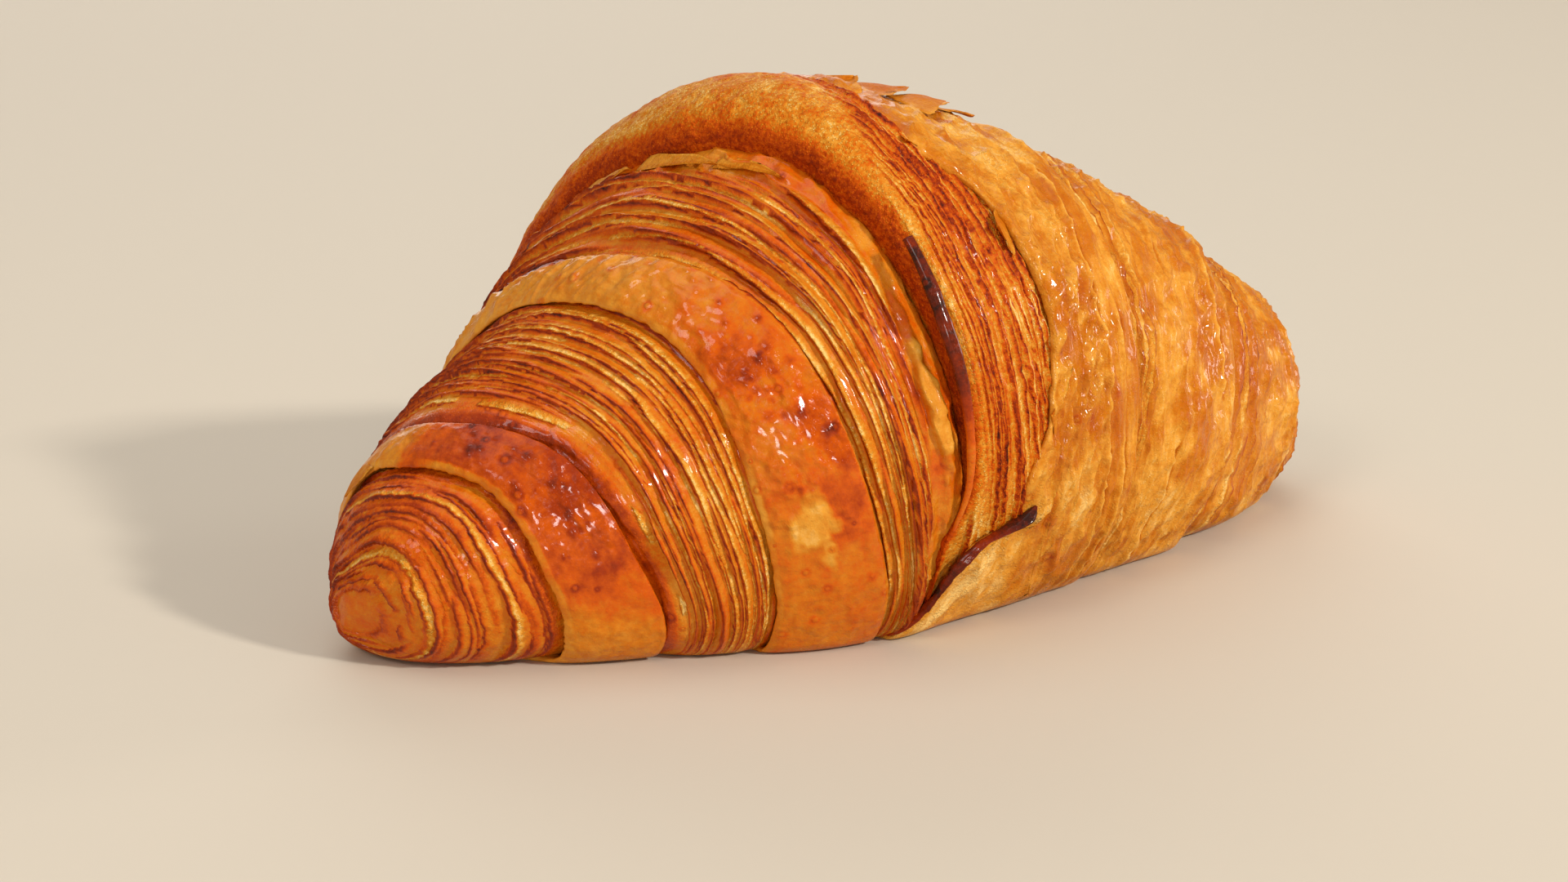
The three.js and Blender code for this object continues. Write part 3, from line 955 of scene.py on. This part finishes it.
def crust_material(name, groups, crust, golden, amber, uneven=0.28, fine=0.3, streaky=0.12,
                   speckle=0.8):
    """Baked dough. The masks give how dark, how glossy, how crumbly and how rippled it is. The
    tone is the mask plus the share of each group's noise about its middle, and a ramp turns it
    into a colour, golden and amber in its middle. Gloss lowers the roughness and adds a coat.
    The bump is the crumb where it is grainy, the dapple where it is dull, the ripple of the
    glaze and the domes of the blisters."""
    material = bpy.data.materials.new(name)
    material.use_nodes = True
    material.node_tree.nodes.clear()
    nodes = Nodes(material.node_tree)
    tone, gloss, grain, ripple = (nodes.mask(mask) for mask in MASKS)
    gloss = nodes.times(gloss, crust.egg_wash)
    blister = nodes.group(groups["blister"], Scale=330.0, Size=0.3)
    washed = nodes.times(nodes.minus(gloss, 0.55), 3.0, clamp=True)
    dome = nodes.times(blister.outputs["Dome"], washed)
    ring = nodes.times(blister.outputs["Ring"], washed)
    crumb = nodes.group(groups["crumb"], Scale=1700.0)
    streak = nodes.group(groups["streak"], Across=1.6, Along=0.25)
    mottle = nodes.group(groups["mottle"], Scale=110.0)
    dapple = nodes.group(groups["mottle"], Scale=520.0)
    speck = nodes.times(nodes.plus(grain, 0.12), speckle)
    tone = nodes.plus(tone, nodes.times(ring, 0.3))
    shares = (
        (mottle.outputs[0], uneven), (dapple.outputs[0], fine),
        (streak.outputs[0], streaky), (crumb.outputs["Speck"], speck),
    )
    for source, share in shares:
        tone = nodes.plus(tone, nodes.times(nodes.minus(source, 0.5), share))
    grains = nodes.times(crumb.outputs["Grains"], nodes.times(grain, 0.22))
    ramp = nodes.add("ShaderNodeValToRGB", {"Fac": nodes.minus(tone, grains)})
    stops = ramp.color_ramp.elements
    while len(stops) < len(BAKE_PLACES):
        stops.new(0.5)
    colours = (crust.crumb, crust.pale, golden, amber, crust.brown, crust.dark, crust.burnt)
    for stop, place, colour in zip(stops, BAKE_PLACES, colours):
        stop.position = place
        stop.color = (*colour, 1.0)
    roughness = nodes.minus(0.66, nodes.times(gloss, 0.48))
    rougher = nodes.times(nodes.minus(dapple.outputs[0], 0.5), 0.35)
    roughness = nodes.plus(roughness, rougher, clamp=True)
    coat = nodes.times(nodes.times(gloss, gloss), 0.35)
    glaze = nodes.group(groups["mottle"], Scale=450.0, Detail=1.0)
    rough_part = nodes.times(crumb.outputs["Height"], nodes.plus(grain, 0.05))
    matte = nodes.minus(1.0, gloss, clamp=True)
    dappled = nodes.times(dapple.outputs[0], nodes.math("MULTIPLY_ADD", matte, 1.3, 0.1))
    height = nodes.plus(rough_part, dappled)
    rippled = nodes.times(glaze.outputs[0], nodes.math("MULTIPLY_ADD", ripple, 2.6, 0.2))
    height = nodes.plus(height, nodes.math("MULTIPLY_ADD", dome, 0.5, rippled))
    bumped = nodes.add("ShaderNodeBump", {"Strength": 0.6, "Distance": 0.0006, "Height": height})
    shader = nodes.add("ShaderNodeBsdfPrincipled", {
        "Base Color": ramp.outputs["Color"], "Roughness": roughness, "Coat Weight": coat,
        "Coat Roughness": 0.09, "IOR": 1.15, "Normal": bumped.outputs["Normal"],
    })
    nodes.add("ShaderNodeOutputMaterial", {"Surface": shader.outputs[0]})


def materials(crust):
    """The materials of the piece, made once and kept by name."""
    if "Laminated crust" not in bpy.data.materials:
        groups = {
            "crumb": crumb_group(), "streak": streak_group(),
            "mottle": mottle_group(), "blister": blister_group(),
        }
        crust_material("Laminated crust", groups, crust, crust.golden, crust.amber)
        crust_material(
            "Thin outer crust", groups, crust, crust.outer, crust.outer_amber,
            uneven=0.14, fine=0.22, streaky=0.24, speckle=0.6,
        )
    return bpy.data.materials


# ---------------------------------------------------------------- studio

# The studio, in metres: the floor turns up in a bend of the radius FLOOR_BEND, which ends at
# FLOOR_REACH from the middle. The sheet is FLOOR_RISE longer than that reach.
FLOOR_REACH = 3.0
FLOOR_BEND = 0.8
FLOOR_RISE = 1.6
KEY_POWER = 30.0  # watts
KEY_LIGHT = {"place": (0.53, -1.64, 1.05), "size": 0.17, "colour": (1.0, 0.96, 0.90)}
# The other lights: name, place, size, power and colour.
SOFT_LIGHTS = (
    ("fill", (-1.62, -0.66, 1.30), 0.6, 10.0, (1.0, 0.98, 0.95)),
    ("glint", (-1.17, -1.73, 0.36), 0.24, 8.0, (1.0, 0.98, 0.95)),
    ("side", (1.98, -0.58, 0.42), 0.45, 10.0, (1.0, 0.98, 0.95)),
    ("back", (0.94, 1.78, 0.94), 1.5, 15.0, (1.0, 0.97, 0.94)),
    ("top", (-0.35, 0.25, 2.2), 1.6, 10.0, (1.0, 0.98, 0.95)),
)
LIGHT_TARGET = (0.0, 0.0, 0.035)
SKY_COLOUR = (0.98, 0.99, 1.0)
CAMERA_PLACE = (-0.2757, -0.3324, 0.1316)
CAMERA_TURN = (75.37947, -0.80651, -37.637)  # degrees about X, Y and Z
CAMERA_LENS = 67.5  # millimetres
CAMERA_NEAR = 0.01


def floor_mesh():
    """A sheet of studio paper: flat under the part, then bent up in a quarter circle all round.
    Past the start of the bend its height is the bend's radius times (1 - cosine of the angle),
    and past its end it grows as the way along the sheet does."""
    flat = FLOOR_REACH - FLOOR_BEND
    way = [np.linspace(0.02, flat, 24), np.linspace(flat, FLOOR_REACH + FLOOR_RISE, 40)[1:]]
    radius = np.concatenate(way)
    past = np.clip(radius - flat, 0.0, None)
    angle = np.minimum(past / FLOOR_BEND, np.pi / 2)
    out = np.where(past > 0, flat + FLOOR_BEND * np.sin(angle), radius)[:, None]
    height = FLOOR_BEND * (1 - np.cos(angle)) + np.clip(past - FLOOR_BEND * np.pi / 2, 0.0, None)
    turn = np.linspace(0, 2 * np.pi, 96, endpoint=False)
    points = np.stack([out * np.cos(turn), out * np.sin(turn), height[:, None] + 0 * turn], -1)
    squares = grid_squares(*points.shape[:2])[2]
    faces = [*squares[:, ::-1].tolist(), list(range(len(turn)))]
    return smooth_mesh("studio_floor", points.reshape(-1, 3), faces)


def stage_material(colour):
    """Dull paper of one colour."""
    material = bpy.data.materials.new("Studio paper")
    material.use_nodes = True
    shader = material.node_tree.nodes["Principled BSDF"]
    shader.inputs["Base Color"].default_value = (*colour, 1.0)
    shader.inputs["Roughness"].default_value = 0.8
    return material


def area_light(name, place, size, power, colour):
    """A soft square light at a place, turned to the croissant and not seen itself."""
    light = bpy.data.lights.new(name, "AREA")
    light.size = size
    light.energy = power
    light.color = colour
    lamp = bpy.data.objects.new(name, light)
    lamp.location = place
    lamp.rotation_euler = (Vector(LIGHT_TARGET) - Vector(place)).to_track_quat("-Z", "Y").to_euler()
    lamp.visible_camera = False
    bpy.context.scene.collection.objects.link(lamp)


# ---------------------------------------------------------------- add-on

def colour_property(name, description, default):
    """A colour that the user can change."""
    return FloatVectorProperty(
        name=name, description=description, subtype="COLOR", size=3, default=default, min=0.0, max=1.0,
    )


class CroissantCrust(bpy.types.PropertyGroup):
    """The colours of the crust from the palest crumb to what is burnt, and its gloss"""

    crumb: colour_property("Crumb", "Colour of the opened crumb", (0.82, 0.53, 0.17))
    pale: colour_property("Pale crust", "Colour of the palest crust", (0.66, 0.285, 0.030))
    golden: colour_property("Golden crust", "Colour of golden crust", (0.57, 0.165, 0.007))
    amber: colour_property("Amber crust", "Colour of egg-washed crust", (0.54, 0.082, 0.001))
    brown: colour_property("Brown crust", "Colour of well-baked edges", (0.31, 0.030, 0.001))
    dark: colour_property("Dark crust", "Colour of the darkest edges", (0.14, 0.014, 0.003))
    burnt: colour_property("Burnt crust", "Colour of burnt edges", (0.03, 0.008, 0.005))
    outer: colour_property("Outer skin", "Colour of the thin outer skin", (0.50, 0.148, 0.004))
    outer_amber: colour_property("Darker skin", "Colour of darker outer skin", (0.43, 0.095, 0.002))
    egg_wash: FloatProperty(
        name="Egg wash", description="How glossy the egg-washed skin is", subtype="FACTOR",
        default=1.0, min=0.0, max=1.0,
    )


class CroissantDough(bpy.types.PropertyGroup):
    """Sizes of the dough's unevenness"""

    lump_height: FloatProperty(
        name="Lump height", description="How uneven the whole roll is", unit="LENGTH",
        default=0.0007, min=0.0, max=0.003,
    )
    lump_size: FloatProperty(
        name="Lump size", description="Distance between the roll's lumps", unit="LENGTH",
        default=0.024, min=0.005, max=0.1,
    )
    relief: FloatProperty(
        name="Relief", description="Height of the layers and blisters, as a share of the baked one",
        subtype="FACTOR", default=1.0, min=0.0, max=1.5,
    )
    ragged: FloatProperty(
        name="Ragged edges", description="How far the edges wander, as a share of the baked ones",
        subtype="FACTOR", default=1.0, min=0.0, max=2.0,
    )
    flake_thickness: FloatProperty(
        name="Flake thickness", description="Thickness of the loose flakes", unit="LENGTH",
        default=0.0003, min=0.0001, max=0.001,
    )


class CroissantStage(bpy.types.PropertyGroup):
    """The studio around the croissant"""

    floor: colour_property("Floor", "Colour of the floor", (0.58, 0.51, 0.41))
    key_power: FloatProperty(
        name="Key light", description="Power of the light from the right", unit="POWER",
        default=KEY_POWER, min=0.0,
    )
    sky: FloatProperty(
        name="Sky", description="Strength of the light from all round", default=0.44, min=0.0,
    )


class PieceOperator:
    """What the operators of the pieces share."""

    bl_options = {"REGISTER", "UNDO"}
    piece = ""
    material = "Laminated crust"

    def bake(self, context, mesh):
        """Puts the piece into the scene in its material."""
        finish_piece(self.piece, mesh, materials(context.scene.croissant_crust)[self.material])
        return {"FINISHED"}

    def bake_wrap(self, context, *shape, **more):
        """Makes a wrap of dough for the piece and bakes it."""
        return self.bake(context, dough_mesh(context.scene.croissant_dough, self.piece, *shape, **more))


class CROISSANT_OT_blunt_horn(PieceOperator, bpy.types.Operator):
    """Adds the blunt horn, a stack of thin edges wound round a low tip"""

    bl_idname = "croissant.blunt_horn"
    bl_label = "Blunt Horn"
    piece = "blunt_horn"

    def execute(self, context):
        return self.bake_wrap(
            context, BLUNT_HORN, 250, 380, blunt_horn_relief, seed=1, middle_angle=50.0,
        )


class CROISSANT_OT_first_wrap(PieceOperator, bpy.types.Operator):
    """Adds the first wrap: a glazed skin and the cut layers behind it"""

    bl_idname = "croissant.first_wrap"
    bl_label = "First Wrap"
    piece = "first_wrap"

    def execute(self, context):
        return self.bake_wrap(context, FIRST_WRAP, 260, 370, first_wrap_relief, seed=2)


class CROISSANT_OT_second_wrap(PieceOperator, bpy.types.Operator):
    """Adds the second wrap: a broad glazed skin and deep cut layers up to the rim"""

    bl_idname = "croissant.second_wrap"
    bl_label = "Second Wrap"
    piece = "second_wrap"

    def execute(self, context):
        return self.bake_wrap(context, SECOND_WRAP, 250, 390, second_wrap_relief, seed=3)


class CROISSANT_OT_rolled_rim(PieceOperator, bpy.types.Operator):
    """Adds the rolled rim of the outer layer, which stands over the wraps before it"""

    bl_idname = "croissant.rolled_rim"
    bl_label = "Rolled Rim"
    piece = "rolled_rim"

    def execute(self, context):
        return self.bake_wrap(
            context, ROLLED_RIM, 250, 390, rolled_rim_relief, seed=4,
            edge_line=(RIM_EDGE, RIM_FRONT, -20.0, 1.0), swell=RIM_SWELL, ragged=0.3,
        )


class CROISSANT_OT_outer_skin(PieceOperator, bpy.types.Operator):
    """Adds the thin skin of the outer layer, from its ragged edge to the first crack"""

    bl_idname = "croissant.outer_skin"
    bl_label = "Outer Skin"
    piece = "outer_skin"
    material = "Thin outer crust"

    def execute(self, context):
        return self.bake_wrap(
            context, OUTER_SKIN, 240, 400, outer_skin_relief, seed=5,
            edge_line=(SKIN_EDGE, SKIN_FRONT, 12.0, 1.15),
        )


class CROISSANT_OT_third_wrap(PieceOperator, bpy.types.Operator):
    """Adds the wrap between the two edges that face the long horn"""

    bl_idname = "croissant.third_wrap"
    bl_label = "Third Wrap"
    piece = "third_wrap"
    material = "Thin outer crust"

    def execute(self, context):
        return self.bake_wrap(context, THIRD_WRAP, 250, 340, third_wrap_relief, seed=6)


class CROISSANT_OT_long_horn(PieceOperator, bpy.types.Operator):
    """Adds the long horn"""

    bl_idname = "croissant.long_horn"
    bl_label = "Long Horn"
    piece = "long_horn"
    material = "Thin outer crust"

    def execute(self, context):
        return self.bake_wrap(context, LONG_HORN, 260, 300, long_horn_relief, seed=7)


class CROISSANT_OT_flakes(PieceOperator, bpy.types.Operator):
    """Adds the thin flakes that stand off the crust"""

    bl_idname = "croissant.flakes"
    bl_label = "Flakes"
    piece = "crust_flakes"
    material = "Thin outer crust"

    def execute(self, context):
        half = context.scene.croissant_dough.flake_thickness / MM / 2
        shells = [flake_shell(place, half, 200 + 10 * i) for i, place in enumerate(FLAKES)]
        return self.bake(context, shell_mesh(self.piece, shells))


class CROISSANT_OT_burnt_edges(PieceOperator, bpy.types.Operator):
    """Adds the burnt curl on the rim and the burnt seam where the dough's tail is tucked under"""

    bl_idname = "croissant.burnt_edges"
    bl_label = "Burnt Edges"
    piece = "burnt_edges"

    def execute(self, context):
        shells = [strip_shell(BURNT_CURL, 301, 0.12), strip_shell(BURNT_SEAM, 311, 0.8)]
        return self.bake(context, shell_mesh(self.piece, shells))


class CROISSANT_OT_stage(bpy.types.Operator):
    """Adds the floor, the lights and the camera"""

    bl_idname = "croissant.stage"
    bl_label = "Stage"
    bl_options = {"REGISTER", "UNDO"}

    def execute(self, context):
        scene = context.scene
        settings = scene.croissant_stage
        floor = bpy.data.objects.new("studio_floor", floor_mesh())
        scene.collection.objects.link(floor)
        floor.data.materials.append(stage_material(settings.floor))
        area_light("key", power=settings.key_power, **KEY_LIGHT)
        for light in SOFT_LIGHTS:
            area_light(*light)
        world = bpy.data.worlds.new("Studio")
        world.use_nodes = True
        background = world.node_tree.nodes["Background"]
        background.inputs["Color"].default_value = (*SKY_COLOUR, 1.0)
        background.inputs["Strength"].default_value = settings.sky
        scene.world = world
        camera = bpy.data.cameras.new("camera")
        camera.lens = CAMERA_LENS
        camera.clip_start = CAMERA_NEAR
        view = bpy.data.objects.new("camera", camera)
        turn = Euler([math.radians(angle) for angle in CAMERA_TURN])
        view.matrix_world = Matrix.LocRotScale(Vector(CAMERA_PLACE), turn, None)
        scene.collection.objects.link(view)
        scene.camera = view
        scene.view_settings.view_transform = "Standard"
        return {"FINISHED"}


class CROISSANT_PT_panel(bpy.types.Panel):
    """The steps of the croissant, in their order"""

    bl_label = "Croissant"
    bl_idname = "CROISSANT_PT_panel"
    bl_space_type = "VIEW_3D"
    bl_region_type = "UI"
    bl_category = "Croissant"

    def draw(self, context):
        for operator in STEPS:
            self.layout.operator(operator.bl_idname)
        for group in SETTINGS:
            box = self.layout.box()
            box.label(text=group.__name__.removeprefix("Croissant"))
            for name in group.__annotations__:
                box.prop(getattr(context.scene, SETTINGS[group]), name)


STEPS = (
    CROISSANT_OT_stage,
    CROISSANT_OT_blunt_horn,
    CROISSANT_OT_first_wrap,
    CROISSANT_OT_second_wrap,
    CROISSANT_OT_rolled_rim,
    CROISSANT_OT_outer_skin,
    CROISSANT_OT_third_wrap,
    CROISSANT_OT_long_horn,
    CROISSANT_OT_flakes,
    CROISSANT_OT_burnt_edges,
)
SETTINGS = {
    CroissantCrust: "croissant_crust",
    CroissantDough: "croissant_dough",
    CroissantStage: "croissant_stage",
}
CLASSES = (*SETTINGS, *STEPS, CROISSANT_PT_panel)


def register():
    """Registers the classes and gives each group of settings to the scene."""
    for item in CLASSES:
        bpy.utils.register_class(item)
    for group, name in SETTINGS.items():
        setattr(bpy.types.Scene, name, PointerProperty(type=group))


def unregister():
    """Takes back what register did."""
    for name in SETTINGS.values():
        delattr(bpy.types.Scene, name)
    for item in reversed(CLASSES):
        bpy.utils.unregister_class(item)


def main():
    """Builds the scene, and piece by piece."""
    register()
    for operator in STEPS:
        group, name = operator.bl_idname.split(".")
        getattr(getattr(bpy.ops, group), name)()


if __name__ == "__main__":
    main()
